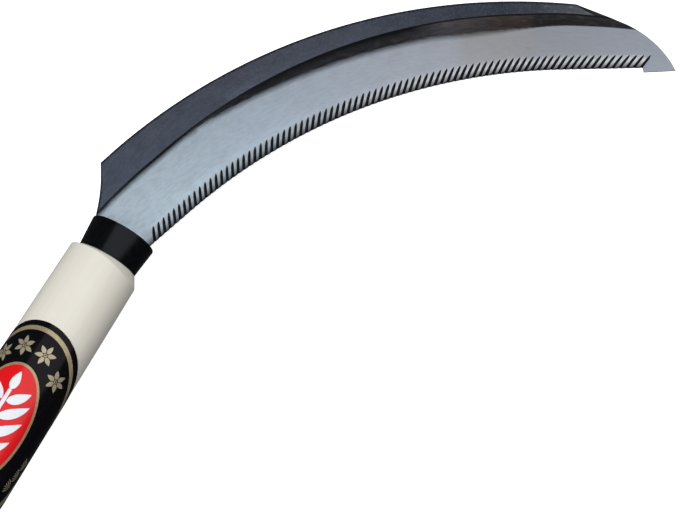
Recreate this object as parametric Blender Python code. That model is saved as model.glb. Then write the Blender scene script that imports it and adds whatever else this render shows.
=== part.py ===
"""Serrated hand sickle: steel blade, collar, wooden handle, two tang pins and a label.

Frame: metres, +Z up. The origin is the centre of the flat butt of the handle. +X runs
along the handle to the blade, the teeth face -Y, and +Z is the ground face of the blade.
The sickle lies on its side, with the blade in the handle's middle plane z = 0.
Driving dimensions are in millimetres and degrees.
"""
import math

import bmesh
import bpy
from mathutils import Vector

MM = 0.001
GAP = 0.3                         # clearance between touching pieces
SECTION_STEPS = 64                # facets round the handle and the collar

# Handle: an elliptical section that widens evenly towards the butt
HANDLE_LENGTH = 140.0             # butt face to front face
HANDLE_FRONT_HALF = (14.0, 12.0)  # half width and half height at the front rim
HANDLE_FLARE = 0.009              # growth of both halves for each mm towards the butt
FACE_HALF = (11.6, 10.9)          # front face, inside a 45 degree chamfer
RIM_SLOPE = 0.115                 # the chamfer is longer on the toothed side, mm for each mm of y
BUTT_ROUND = 3.0
TENON_HALF = (9.6, 8.6)
TENON_LENGTH = 9.0

# Collar: a cup over the tenon, with a slot for the tang in its front wall
COLLAR_LENGTH = 11.6
COLLAR_REAR_HALF = (11.3, 10.6)
COLLAR_FRONT_HALF = (12.4, 11.8)
COLLAR_EDGE = 0.5                 # chamfer round the front wall
COLLAR_WALL = 2.0                 # thickness of the front wall

# Blade plate, in polar terms about the centre of the spine's arc: an angle and a depth,
# which is the distance in from the spine
THICKNESS = 1.5
EDGE_THICKNESS = 0.45
SPINE_CENTRE = Vector((119.1, -181.7))
SPINE_RADIUS = 210.0
SPINE_ANGLES = (75.6, 22.1)       # heel corner, and the end of the spine
HEEL_CENTRE = Vector((131.2, 77.6))    # hollow curve from the shoulder to the heel corner
HEEL_RADIUS = 68.75
NOSE_CENTRE = Vector((278.1, -123.7))  # rounded front of the blade, down to the point
NOSE_RADIUS = 36.95
NOSE_ANGLES = (5.0, -40.1)        # where the rounding starts, and the point, about NOSE_CENTRE
NOSE_STEP = (0.25, 1.9)           # where the nose starts past the last tooth: along, and out
NOSE_COLUMNS = 6
HEEL_COLUMNS = 5

# Toothed edge: a straight, an arc and a straight up to the last tooth, all tangent
EDGE_START_Y = -10.4              # at the shoulder
EDGE_HEADING = -17.55
EDGE_STRAIGHT = 20.0
EDGE_RADIUS = 204.0
EDGE_TURN = 42.7

# Ridge under the flat band, and the hollow from the ridge to the bevel, both along arcs
RIDGE_CENTRE = Vector((129.8, -183.6))
RIDGE_RADIUS = 196.1
RIDGE_LIMIT = 12.5                # depth that the ridge keeps near the heel
HOLLOW_CENTRE = Vector((94.0, -213.2))
HOLLOW_RADIUS = 236.6
HOLLOW_LEAST = 0.5                # width of the hollow near the heel
NOSE_LIFT = (27.0, 23.0, 0.6)     # both come this much nearer the spine between two angles
HOLLOW_DROP = 0.35
HOLLOW_MIDDLE = 0.4               # the row of points inside the hollow

# Grooves between the teeth: parallel sides, then a pointed head
TEETH = 81
TOOTH_START = 2.87                # first groove's middle, along the edge from the shoulder
TOOTH_PITCH = 2.463
TOOTH_SPREAD = 0.0092             # growth of the station with the square of the teeth past the even ones
EVEN_TEETH = 66
TOOTH_DEPTH = (4.95, 5.8, 5.2)     # groove length square to the edge: first, longest and last
FULL_DEPTH_TOOTH = 60             # tooth with the longest groove
TOOTH_LEAN = (55.0, 50.0)         # groove against the edge, in the even teeth and at the last
GROOVE_HALF = 0.66                # half width along the edge
GROOVE_SHOULDER = 0.68            # share of the groove's length where its sides turn to the head
TOOTH_GULLET = 0.15               # how far a groove cuts into the back face

# Tang and its pins
TANG_HALF = (7.0, 5.0)            # half width at the shoulders and at the end
TANG_THICKNESS = 1.3
TANG_LENGTH = 70.0
TANG_OVERLAP = 0.2
PIN_RADIUS = 1.5
PIN_SETBACK = (36.0, 50.0)        # behind the handle's front face
PIN_SHORT = 0.5                   # how far a pin's ends lie under the handle's surface
PIN_CHAMFER = 0.4
PIN_STEPS = 24

# Label: an oval sticker laid round the upper side of the handle
LABEL_CENTRE_X = 70.0
LABEL_HALF = (39.0, 28.0)         # along the handle, and round it from the top line
LABEL_GAP = 0.12
LABEL_THICKNESS = 0.15
LABEL_END_COLUMNS = (0.9, 0.97, 0.995)  # extra columns near its side ends

COLLAR_REAR_X = HANDLE_LENGTH + GAP
COLLAR_FRONT_X = HANDLE_LENGTH + COLLAR_LENGTH
SHOULDER_X = COLLAR_FRONT_X + GAP
TANG_END_X = SHOULDER_X - TANG_LENGTH

# Colours are linear, with metallic and roughness
FINISHES = {
    "blade": ((0.38, 0.42, 0.46), 1.0, 0.38),
    "ferrule": ((0.008, 0.009, 0.011), 0.0, 0.18),
    "handle": ((0.68, 0.64, 0.54), 0.0, 0.55),
    "tang_pin": ((0.42, 0.42, 0.43), 1.0, 0.4),
    "label": ((0.012, 0.012, 0.014), 0.0, 0.2),
}


def material(name):
    colour, metallic, roughness = FINISHES[name]
    made = bpy.data.materials.new(name)
    made.use_nodes = True
    shader = made.node_tree.nodes["Principled BSDF"]
    shader.inputs["Base Color"].default_value = (*colour, 1.0)
    shader.inputs["Metallic"].default_value = metallic
    shader.inputs["Roughness"].default_value = roughness
    made.diffuse_color = (*colour, 1.0)
    return made


def new_object(name, mesh_builder, finish=None):
    """Object from a bmesh, closed and facing out. It has a material unless it is a cutter."""
    bmesh.ops.remove_doubles(mesh_builder, verts=mesh_builder.verts, dist=0.002 * MM)
    bmesh.ops.recalc_face_normals(mesh_builder, faces=mesh_builder.faces)
    mesh = bpy.data.meshes.new(name)
    mesh_builder.to_mesh(mesh)
    mesh_builder.free()
    made = bpy.data.objects.new(name, mesh)
    bpy.context.scene.collection.objects.link(made)
    if finish:
        mesh.materials.append(finish)
    else:
        made.hide_render = True
        made.display_type = "WIRE"
    return made


def smooth(made, degrees=30.0):
    made.data.shade_smooth()
    made.data.set_sharp_from_angle(angle=math.radians(degrees))


def boolean(made, cutter, operation="DIFFERENCE"):
    modifier = made.modifiers.new(cutter.name, "BOOLEAN")
    modifier.operation = operation
    modifier.object = cutter


def point(x, y, z):
    return Vector((x, y, z)) * MM


# ---------------------------------------------------------------- handle and collar

def handle_half(x):
    """Half width and half height of the handle's body at x, before its chamfers."""
    growth = HANDLE_FLARE * (HANDLE_LENGTH - x)
    return HANDLE_FRONT_HALF[0] + growth, HANDLE_FRONT_HALF[1] + growth


def on_section(half, turn):
    """Point of an ellipse at a turn from the top line, positive towards +Y."""
    return math.sin(turn) * half[0], math.cos(turn) * half[1]


def shrunk(half, amount):
    return half[0] - amount, half[1] - amount


def section_turns():
    return [2.0 * math.pi * step / SECTION_STEPS for step in range(SECTION_STEPS)]


def section_ring(x, half):
    return [point(x, *on_section(half, turn)) for turn in section_turns()]


def rim_ring():
    """Outer edge of the front chamfer, which reaches further back on the toothed side."""
    ring = []
    for turn in section_turns():
        outer = on_section(HANDLE_FRONT_HALF, turn)
        inner = on_section(FACE_HALF, turn)
        x = HANDLE_LENGTH - math.dist(outer, inner) + RIM_SLOPE * outer[0]
        ring.append(point(x, *outer))
    return ring


def loft(places):
    """Skin over rings of points, with flat ends."""
    builder = bmesh.new()
    rings = [[builder.verts.new(place) for place in ring] for ring in places]
    builder.faces.new(rings[0])
    builder.faces.new(rings[-1])
    for first, second in zip(rings, rings[1:]):
        for step in range(SECTION_STEPS):
            after = (step + 1) % SECTION_STEPS
            builder.faces.new((first[step], first[after], second[after], second[step]))
    return builder


def box(name, low, high):
    builder = bmesh.new()
    bmesh.ops.create_cube(builder, size=1.0)
    centre = (Vector(low) + Vector(high)) / 2.0
    size = Vector(high) - Vector(low)
    for vertex in builder.verts:
        vertex.co = point(*(centre[axis] + vertex.co[axis] * size[axis] for axis in range(3)))
    return new_object(name, builder)


def rod(name, x, radius, half_length, finish=None, chamfer=0.0):
    """Upright round bar through the middle plane, with a small chamfer at its ends."""
    builder = bmesh.new()
    levels = [(-half_length, radius - chamfer), (half_length, radius - chamfer)]
    if chamfer:
        levels[1:1] = [(-half_length + chamfer, radius), (half_length - chamfer, radius)]
    rings = []
    for z, reach in levels:
        ring = []
        for step in range(PIN_STEPS):
            turn = 2.0 * math.pi * (step + 0.5) / PIN_STEPS
            ring.append(builder.verts.new(point(x + reach * math.cos(turn), reach * math.sin(turn), z)))
        rings.append(ring)
    builder.faces.new(rings[0])
    builder.faces.new(rings[-1])
    for first, second in zip(rings, rings[1:]):
        for step in range(PIN_STEPS):
            after = (step + 1) % PIN_STEPS
            builder.faces.new((first[step], first[after], second[after], second[step]))
    return new_object(name, builder, finish)


def pin_positions():
    return [HANDLE_LENGTH - setback for setback in PIN_SETBACK]


def make_handle():
    rings = []
    for step in range(5):
        turn = math.radians(90.0 * step / 4)
        x = BUTT_ROUND * (1.0 - math.cos(turn))
        rings.append(section_ring(x, shrunk(handle_half(x), BUTT_ROUND * (1.0 - math.sin(turn)))))
    rings.append(rim_ring())
    rings.append(section_ring(HANDLE_LENGTH, FACE_HALF))
    rings.append(section_ring(HANDLE_LENGTH, TENON_HALF))
    rings.append(section_ring(HANDLE_LENGTH + TENON_LENGTH, TENON_HALF))
    handle = new_object("handle", loft(rings), material("handle"))
    tang_room = (TANG_HALF[0] + GAP, TANG_THICKNESS / 2 + GAP)
    mortise = box("mortise_cutter", (TANG_END_X - 1.0, -tang_room[0], -tang_room[1]),
                  (HANDLE_LENGTH + TENON_LENGTH + 1.0, tang_room[0], tang_room[1]))
    boolean(handle, mortise)
    for number, x in enumerate(pin_positions()):
        boolean(handle, rod(f"handle_pin_cutter_{number}", x, PIN_RADIUS + GAP, 20.0))
    smooth(handle)


def make_ferrule():
    inside = (TENON_HALF[0] + GAP, TENON_HALF[1] + GAP)
    front_wall_x = COLLAR_FRONT_X - COLLAR_WALL
    builder = loft([
        section_ring(COLLAR_REAR_X, COLLAR_REAR_HALF),
        section_ring(COLLAR_FRONT_X - COLLAR_EDGE, COLLAR_FRONT_HALF),
        section_ring(COLLAR_FRONT_X, shrunk(COLLAR_FRONT_HALF, COLLAR_EDGE)),
    ])
    ferrule = new_object("ferrule", builder, material("ferrule"))
    socket_rings = [section_ring(x, inside) for x in (COLLAR_REAR_X - 1.0, front_wall_x)]
    socket = new_object("ferrule_socket_cutter", loft(socket_rings))
    slot_half = (TANG_HALF[0] + GAP, TANG_THICKNESS / 2 + GAP)
    slot = box("ferrule_slot_cutter", (front_wall_x - 1.0, -slot_half[0], -slot_half[1]),
               (COLLAR_FRONT_X + 1.0, slot_half[0], slot_half[1]))
    boolean(ferrule, socket)
    boolean(ferrule, slot)
    smooth(ferrule)


def make_pins():
    for name, x in zip(("tang_pin_front", "tang_pin_rear"), pin_positions()):
        length = handle_half(x)[1] - PIN_SHORT
        smooth(rod(name, x, PIN_RADIUS, length, material("tang_pin"), PIN_CHAMFER))


# ---------------------------------------------------------------- label

def label_columns():
    """(turn, girth) pairs across the label: the handle's own facet lines, and the ends."""
    fine = 4000
    half = handle_half(LABEL_CENTRE_X)
    wanted = [LABEL_HALF[1] * share for share in LABEL_END_COLUMNS] + [LABEL_HALF[1]]
    columns = [(0.0, 0.0)]
    facet = 2.0 * math.pi / SECTION_STEPS
    travelled = 0.0
    before = on_section(half, 0.0)
    for step in range(1, fine):
        turn = math.pi * step / fine
        here = on_section(half, turn)
        travelled += math.dist(before, here)
        before = here
        if wanted and travelled >= wanted[0]:
            columns.append((turn, wanted.pop(0)))
            if not wanted:
                break
        elif math.floor(turn / facet) > math.floor(math.pi * (step - 1) / fine / facet):
            columns.append((math.floor(turn / facet) * facet, travelled))
    return [(-turn, -girth) for turn, girth in reversed(columns[1:])] + columns


def make_label():
    builder = bmesh.new()
    layers = []
    for lift in (LABEL_GAP, LABEL_GAP + LABEL_THICKNESS):
        rear = []
        front = []
        for turn, girth in label_columns():
            reach = LABEL_HALF[0] * math.sqrt(max(0.0, 1.0 - (girth / LABEL_HALF[1]) ** 2))
            for side, row in ((-1.0, rear), (1.0, front)):
                x = LABEL_CENTRE_X + side * reach
                y, z = on_section(shrunk(handle_half(x), -lift), turn)
                row.append(builder.verts.new(point(x, y, z)))
        layers.append((rear, front))
    (inner_rear, inner_front), (outer_rear, outer_front) = layers
    for step in range(len(inner_rear) - 1):
        for first, second in ((inner_rear, inner_front), (outer_rear, outer_front),
                              (inner_rear, outer_rear), (inner_front, outer_front)):
            builder.faces.new((first[step], first[step + 1], second[step + 1], second[step]))
    label = new_object("label", builder, material("label"))
    smooth(label, 40.0)


# ---------------------------------------------------------------- blade

def direction(degrees):
    turn = math.radians(degrees)
    return Vector((math.cos(turn), math.sin(turn)))


def from_polar(angle, depth):
    return SPINE_CENTRE + direction(angle) * (SPINE_RADIUS - depth)


def to_polar(place):
    offset = place - SPINE_CENTRE
    return math.degrees(math.atan2(offset.y, offset.x)), SPINE_RADIUS - offset.length


def solve(function, low, high):
    """Value between low and high where a function changes sign."""
    rising = function(high) > 0.0
    for _ in range(50):
        middle = (low + high) / 2.0
        if (function(middle) > 0.0) == rising:
            high = middle
        else:
            low = middle
    return (low + high) / 2.0


def tooth_station(tooth):
    """Middle of a groove, as a length along the edge."""
    return TOOTH_START + TOOTH_PITCH * tooth + TOOTH_SPREAD * max(0, tooth - EVEN_TEETH) ** 2


def edge_length():
    return tooth_station(TEETH - 1) + GROOVE_HALF


def edge_at(station):
    """Place on the toothed edge, with its direction, at a length along it."""
    place = Vector((SHOULDER_X, EDGE_START_Y))
    heading = EDGE_HEADING
    first = min(station, EDGE_STRAIGHT)
    place = place + direction(heading) * first
    bend = min(max(station - EDGE_STRAIGHT, 0.0), EDGE_RADIUS * math.radians(EDGE_TURN))
    centre = place + direction(heading - 90.0) * EDGE_RADIUS
    heading -= math.degrees(bend / EDGE_RADIUS)
    place = centre + direction(heading + 90.0) * EDGE_RADIUS if bend else place
    rest = station - first - bend
    return place + direction(heading) * rest, direction(heading)


def inward(tangent):
    return Vector((-tangent.y, tangent.x))


def meet_circle(angle, centre, radius, far):
    """Depth at which the ray of an angle meets a circle, on its far or its near side."""
    ray = direction(angle)
    along = (centre - SPINE_CENTRE).dot(ray)
    across = (centre - SPINE_CENTRE).cross(ray)
    half_chord = math.sqrt(max(0.0, radius ** 2 - across ** 2))
    return SPINE_RADIUS - (along + half_chord if far else along - half_chord)


def meet_line(angle, start, end):
    """Depth at which the ray of an angle meets the line through two places."""
    ray = direction(angle)
    line = end - start
    return SPINE_RADIUS - (start - SPINE_CENTRE).cross(line) / ray.cross(line)


NOSE_TOP, NOSE_POINT = (NOSE_CENTRE + direction(angle) * NOSE_RADIUS for angle in NOSE_ANGLES)
SPINE_END = from_polar(SPINE_ANGLES[1], 0.0)
HEEL_DROP = math.sqrt(HEEL_RADIUS ** 2 - (SHOULDER_X - HEEL_CENTRE.x) ** 2)
HEEL_FOOT = Vector((SHOULDER_X, HEEL_CENTRE.y - HEEL_DROP))
EDGE_END, EDGE_END_TANGENT = edge_at(edge_length())
STEP_CORNER = EDGE_END + EDGE_END_TANGENT * NOSE_STEP[0] - inward(EDGE_END_TANGENT) * NOSE_STEP[1]


def outline_depth(angle):
    """Depth of the blade's back outline: heel curve, spine, straight, then rounded nose."""
    if angle > SPINE_ANGLES[0]:
        return meet_circle(angle, HEEL_CENTRE, HEEL_RADIUS, far=False)
    if angle >= SPINE_ANGLES[1]:
        return 0.0
    if angle >= to_polar(NOSE_TOP)[0]:
        return meet_line(angle, SPINE_END, NOSE_TOP)
    return meet_circle(angle, NOSE_CENTRE, NOSE_RADIUS, far=True)


def nose_lift(angle):
    start, end, lift = NOSE_LIFT
    return lift * min(1.0, max(0.0, (start - angle) / (start - end)))


def ridge_depth(angle):
    return min(RIDGE_LIMIT, meet_circle(angle, RIDGE_CENTRE, RIDGE_RADIUS, far=True) - nose_lift(angle))


def hollow_depth(angle):
    """Depth of the hollow's lower border."""
    depth = meet_circle(angle, HOLLOW_CENTRE, HOLLOW_RADIUS, far=True) - nose_lift(angle)
    return max(depth, ridge_depth(angle) + HOLLOW_LEAST)


def front_depth(angle):
    """Depth of the toothed edge, or of the nose's lower edge beyond it."""
    if angle < to_polar(STEP_CORNER)[0]:
        return meet_line(angle, STEP_CORNER, NOSE_POINT)
    station = solve(lambda length: to_polar(edge_at(length)[0])[0] - angle, -3.0, edge_length() + 5.0)
    return to_polar(edge_at(station)[0])[1]


def face_height(place):
    """Plate thickness at a place: flat band, hollow under the ridge, then the bevel."""
    angle, depth = to_polar(place)
    ridge = ridge_depth(angle)
    hollow = hollow_depth(angle)
    if depth <= ridge:
        return THICKNESS
    if depth <= hollow:
        return THICKNESS - HOLLOW_DROP * (1.0 - ((hollow - depth) / (hollow - ridge)) ** 2)
    share = min(1.0, (depth - hollow) / (front_depth(angle) - hollow))
    return THICKNESS - HOLLOW_DROP + (EDGE_THICKNESS - THICKNESS + HOLLOW_DROP) * share


def groove_reach(tooth):
    """Way from the edge to the head of a groove."""
    _, tangent = edge_at(tooth_station(tooth))
    past = max(0.0, tooth - EVEN_TEETH) / (TEETH - 1 - EVEN_TEETH)
    lean = TOOTH_LEAN[0] + (TOOTH_LEAN[1] - TOOTH_LEAN[0]) * past
    first, longest, last = TOOTH_DEPTH
    depth = first + (longest - first) * min(1.0, tooth / FULL_DEPTH_TOOTH) + (last - longest) * past
    return (tangent / math.tan(math.radians(lean)) + inward(tangent)) * depth


def groove_head(tooth):
    """Inner end of a groove, up on the bevel."""
    return edge_at(tooth_station(tooth))[0] + groove_reach(tooth)


def groove_side(tooth, side):
    """Base on the edge, and shoulder, of a groove's side: -1 towards the heel, 1 towards the nose."""
    base = edge_at(tooth_station(tooth) + side * GROOVE_HALF)[0]
    return base, base + groove_reach(tooth) * GROOVE_SHOULDER


def blade_columns():
    """Pairs of places, on the back outline and at the foot of the plain bevel, heel to nose."""
    heads = [groove_head(tooth) for tooth in range(TEETH)]
    first_angle = to_polar(heads[0])[0]
    neck_foot = Vector((SHOULDER_X, EDGE_START_Y + TOOTH_DEPTH[0] / math.cos(math.radians(EDGE_HEADING))))
    heel_angle = to_polar(HEEL_FOOT)[0]
    columns = []
    for step in range(HEEL_COLUMNS):
        share = step / HEEL_COLUMNS
        angle = heel_angle + (first_angle - heel_angle) * share
        columns.append((from_polar(angle, outline_depth(angle)), neck_foot.lerp(heads[0], share), None))
    corners = [SPINE_ANGLES[0], SPINE_ANGLES[1], to_polar(NOSE_TOP)[0]]
    for row_depth in (ridge_depth, hollow_depth):
        corners.append(solve(lambda angle: outline_depth(angle) - row_depth(angle), 15.0, SPINE_ANGLES[1]))
    corners.sort(reverse=True)
    for tooth, head in enumerate(heads):
        angle = to_polar(head)[0]
        while tooth and corners and corners[0] > angle:
            corner = corners.pop(0)
            before = heads[tooth - 1]
            foot = from_polar(corner, meet_line(corner, before, head))
            columns.append((from_polar(corner, outline_depth(corner)), foot, None))
        columns.append((from_polar(angle, outline_depth(angle)), head, tooth))
    step_angle = to_polar(STEP_CORNER)[0]
    for step in range(NOSE_COLUMNS):
        angle = step_angle + (to_polar(NOSE_POINT)[0] - step_angle) * step / NOSE_COLUMNS
        foot = from_polar(angle, front_depth(angle))
        columns.append((from_polar(angle, outline_depth(angle)), foot, None))
    columns.append((NOSE_POINT, NOSE_POINT, None))
    return columns


def column_places(top, foot):
    """The five places of a column: outline, ridge, inside the hollow, its end, and the foot."""
    angle, top_depth = to_polar(top)
    foot_depth = to_polar(foot)[1]
    ridge = ridge_depth(angle)
    hollow = hollow_depth(angle)
    rows = (ridge, ridge + (hollow - ridge) * HOLLOW_MIDDLE, hollow)
    span = max(foot_depth - top_depth, 0.001)
    shares = [min(1.0, max(0.0, (row - top_depth) / span)) for row in rows]
    return [top] + [top.lerp(foot, share) for share in shares] + [foot]


class Plate:
    """Blade plate under construction: a ground upper face over a flat back."""

    def __init__(self):
        self.builder = bmesh.new()
        self.back_z = -THICKNESS / 2

    def upper(self, place):
        return self.builder.verts.new(point(place.x, place.y, self.back_z + face_height(place)))

    def back(self, place):
        return self.builder.verts.new(point(place.x, place.y, self.back_z))

    def pair(self, place):
        """Upper and back vertices of a place on the edge."""
        return [self.upper(place), self.back(place)]

    def face(self, *corners):
        kept = []
        for corner in corners:
            if all((corner.co - other.co).length > 0.002 * MM for other in kept):
                kept.append(corner)
        if len(kept) > 2:
            self.builder.faces.new(kept)

    def zip(self, first, second):
        """Triangles between two rows of back vertices that both run from heel to nose."""
        def angle(vertex):
            return to_polar(Vector((vertex.co.x, vertex.co.y)) / MM)[0]
        here = 0
        there = 0
        while here < len(first) - 1 or there < len(second) - 1:
            at_end = there == len(second) - 1
            if at_end or (here < len(first) - 1 and angle(first[here + 1]) >= angle(second[there + 1])):
                self.face(first[here], first[here + 1], second[there])
                here += 1
            else:
                self.face(first[here], second[there + 1], second[there])
                there += 1


def make_blade():
    plate = Plate()
    columns = blade_columns()
    grid = [[plate.upper(place) for place in column_places(top, foot)] for top, foot, _ in columns]
    outline = [plate.back(top) for top, _, _ in columns]
    feet = [column[-1] for column in grid]
    tooth_columns = [number for number, column in enumerate(columns) if column[2] is not None]
    for first, second in zip(grid, grid[1:]):
        for row in range(4):
            plate.face(first[row], first[row + 1], second[row + 1], second[row])
    for number in range(len(columns) - 1):
        plate.face(grid[number][0], grid[number + 1][0], outline[number + 1], outline[number])

    # Teeth: a land, then a groove whose floor falls from its head to a gullet in the back face
    shoulder_end = plate.pair(edge_at(0.0)[0])
    front_back_row = [shoulder_end[1]]
    land_start = shoulder_end
    land_shoulder = None
    for tooth in range(TEETH):
        head = feet[tooth_columns[tooth]]
        place, tangent = edge_at(tooth_station(tooth))
        gullet = plate.back(place + inward(tangent) * TOOTH_GULLET)
        left, left_shoulder = groove_side(tooth, -1.0)
        right, right_shoulder = groove_side(tooth, 1.0)
        land_end = plate.pair(left)
        land_end_shoulder = plate.upper(left_shoulder)
        first_foot = tooth_columns[tooth - 1] if tooth else 0
        row = feet[first_foot:tooth_columns[tooth] + 1]
        if land_shoulder:
            plate.face(land_start[0], land_end[0], land_end_shoulder, land_shoulder)
            plate.face(land_shoulder, land_end_shoulder, *reversed(row))
        else:
            plate.face(land_start[0], land_end[0], land_end_shoulder, *reversed(row))
        plate.face(land_start[0], land_start[1], land_end[1], land_end[0])
        land_start = plate.pair(right)
        land_shoulder = plate.upper(right_shoulder)
        for (upper, back), shoulder in ((land_end, land_end_shoulder), (land_start, land_shoulder)):
            plate.face(upper, back, gullet)
            plate.face(upper, gullet, shoulder)
            plate.face(shoulder, gullet, head)
        front_back_row += [land_end[1], gullet, land_start[1]]

    # Nose: the step down from the last groove, and the plain lower edge out to the point
    nose = range(tooth_columns[-1] + 1, len(columns))
    nose_back = [plate.back(columns[number][1]) for number in nose]
    plate.face(land_start[0], land_shoulder, feet[nose[0]])
    plate.face(land_shoulder, feet[tooth_columns[-1]], feet[nose[0]])
    plate.face(land_start[0], land_start[1], nose_back[0], feet[nose[0]])
    for step, number in enumerate(nose[:-1]):
        plate.face(feet[number], nose_back[step], nose_back[step + 1], feet[number + 1])
    front_back_row += nose_back
    plate.zip(outline, front_back_row)

    # Shoulder: the square end that meets the collar
    plate.face(*grid[0], *shoulder_end, outline[0])
    blade = new_object("blade", plate.builder, material("blade"))
    boolean(blade, make_tang(), "UNION")
    for number, x in enumerate(pin_positions()):
        boolean(blade, rod(f"tang_pin_cutter_{number}", x, PIN_RADIUS + GAP, 20.0))
    smooth(blade, 12.0)


def make_tang():
    """Flat bar behind the shoulders that narrows to a bevelled end."""
    front = SHOULDER_X + TANG_OVERLAP
    corners = [
        (front, -TANG_HALF[0]), (front, TANG_HALF[0]), (SHOULDER_X - TANG_LENGTH / 2, TANG_HALF[0]),
        (TANG_END_X + 2.0, TANG_HALF[1]), (TANG_END_X, TANG_HALF[1] - 2.0),
        (TANG_END_X, 2.0 - TANG_HALF[1]), (TANG_END_X + 2.0, -TANG_HALF[1]),
        (SHOULDER_X - TANG_LENGTH / 2, -TANG_HALF[0]),
    ]
    builder = bmesh.new()
    low = [builder.verts.new(point(x, y, -TANG_THICKNESS / 2)) for x, y in corners]
    high = [builder.verts.new(point(x, y, TANG_THICKNESS / 2)) for x, y in corners]
    builder.faces.new(low)
    builder.faces.new(high)
    for number in range(len(corners)):
        after = (number + 1) % len(corners)
        builder.faces.new((low[number], low[after], high[after], high[number]))
    return new_object("tang_blank", builder)


def main():
    for old in list(bpy.data.objects):
        bpy.data.objects.remove(old)
    make_blade()
    make_ferrule()
    make_handle()
    make_pins()
    make_label()


main()
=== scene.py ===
# Looks of the serrated hand sickle. +X runs along the handle to the blade, the teeth face
# -Y, and +Z is the ground face of the blade. Sizes are in millimetres and degrees.
import bisect
import math

import bmesh
import bpy
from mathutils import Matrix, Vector


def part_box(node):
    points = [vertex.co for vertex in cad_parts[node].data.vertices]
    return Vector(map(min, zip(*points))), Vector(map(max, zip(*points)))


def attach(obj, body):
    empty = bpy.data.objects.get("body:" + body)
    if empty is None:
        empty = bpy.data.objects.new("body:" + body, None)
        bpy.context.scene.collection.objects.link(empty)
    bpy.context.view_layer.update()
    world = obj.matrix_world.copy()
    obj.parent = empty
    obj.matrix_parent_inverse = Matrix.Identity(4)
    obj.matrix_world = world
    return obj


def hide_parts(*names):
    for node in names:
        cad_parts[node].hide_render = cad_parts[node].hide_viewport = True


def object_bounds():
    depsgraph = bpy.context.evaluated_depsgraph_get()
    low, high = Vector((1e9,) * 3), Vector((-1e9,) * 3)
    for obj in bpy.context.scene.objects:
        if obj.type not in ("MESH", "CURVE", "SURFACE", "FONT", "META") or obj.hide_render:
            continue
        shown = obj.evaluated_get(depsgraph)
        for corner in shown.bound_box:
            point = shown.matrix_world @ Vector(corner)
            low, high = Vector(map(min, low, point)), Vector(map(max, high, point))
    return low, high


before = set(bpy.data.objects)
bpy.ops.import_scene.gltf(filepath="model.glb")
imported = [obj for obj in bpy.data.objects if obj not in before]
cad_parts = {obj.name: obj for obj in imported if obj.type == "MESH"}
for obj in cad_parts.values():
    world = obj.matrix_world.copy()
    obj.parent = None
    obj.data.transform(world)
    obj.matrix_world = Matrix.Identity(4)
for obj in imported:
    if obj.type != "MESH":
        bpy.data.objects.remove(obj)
CAD_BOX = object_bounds()

MM = 0.001
MM_PER_METRE = 1000.0
MERGE = 0.002  # places closer than this count as one
CAD_CENTRE = (CAD_BOX[0] + CAD_BOX[1]) / 2
BODY = "root"


def node_range(node, axis):
    """Lowest and highest place of a CAD node along an axis, in millimetres."""
    low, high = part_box(node)
    return low[axis] / MM, high[axis] / MM


# Handle, from its CAD solid: its tenon lies inside the collar
GAP = 0.3
SECTION_STEPS = 160
TENON_LENGTH = 9.0
TENON_HALF = (9.6, 8.6)
HANDLE_LENGTH = node_range("handle", 0)[1] - TENON_LENGTH
HANDLE_FLARE = 0.009
FACE_HALF = (11.6, 10.9)  # front face, inside a 45 degree chamfer
RIM_SLOPE = 0.115  # the chamfer is longer on the toothed side
RIM_ROUND = 0.35  # softened corners of the front chamfer
BUTT_ROUND = 3.0
FLARE_AT_BUTT = HANDLE_FLARE * (HANDLE_LENGTH - BUTT_ROUND)
HANDLE_FRONT_HALF = tuple(node_range("handle", axis)[1] - FLARE_AT_BUTT for axis in (1, 2))
BUTT_STEPS = 8
BODY_STEPS = 12
RIM_BACK = 2.0  # from the chamfer back to a place on the plain body
GIRTH_STEPS = 3000

# Collar
COLLAR_REAR_X, COLLAR_FRONT_X = node_range("ferrule", 0)
COLLAR_REAR_HALF = (11.3, 10.6)
COLLAR_FRONT_HALF = tuple(node_range("ferrule", axis)[1] for axis in (1, 2))
COLLAR_EDGE = 0.55
COLLAR_WALL = 2.0

# Blade, in polar terms about the centre of the spine's arc: an angle and a depth, which is
# the distance in from the spine
BLADE_BACK_Z, BLADE_TOP_Z = node_range("blade", 2)
THICKNESS = BLADE_TOP_Z - BLADE_BACK_Z
EDGE_THICKNESS = 0.45
SHOULDER_X = COLLAR_FRONT_X + GAP
SPINE_CENTRE = Vector((119.1, -181.7))
SPINE_RADIUS = 210.0
SPINE_ANGLES = (75.6, 22.1)
HEEL_CENTRE = Vector((131.2, 77.6))
HEEL_RADIUS = 68.75
NOSE_CENTRE = Vector((278.1, -123.7))
NOSE_RADIUS = 36.95
NOSE_ANGLES = (5.0, -40.1)
NOSE_STEP = (0.25, 1.9)
NOSE_CLEARANCE = 0.1  # angle from the last groove to the nose's own facets
NOSE_COLUMNS = 18
HEEL_COLUMNS = 12
EDGE_START_Y = -10.4
EDGE_HEADING = -17.55
EDGE_STRAIGHT = 20.0
EDGE_RADIUS = 204.0
EDGE_TURN = 42.7
EDGE_SEARCH = (3.0, 5.0)  # lengths before and past the edge that are searched too
RIDGE_CENTRE = Vector((129.8, -183.6))
RIDGE_RADIUS = 196.1
RIDGE_LIMIT = 12.5
ROWS_END_ANGLE = 15.0  # both rows have met the outline before this angle
HOLLOW_CENTRE = Vector((94.0, -213.2))
HOLLOW_RADIUS = 236.6
HOLLOW_LEAST = 0.5
NOSE_LIFT = (27.0, 23.0, 0.6)  # angles between which the rows rise, and by how much
HOLLOW_DROP = 0.35
HOLLOW_SHARES = (0.12, 0.28, 0.46, 0.65, 0.82)  # rows inside the hollow
SOFT_FADE = (31.0, 3.6)  # angle, and width over which the hollow's painted dark reflection fades out
SHARP_FADE = (26.0, 0.7)
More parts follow.
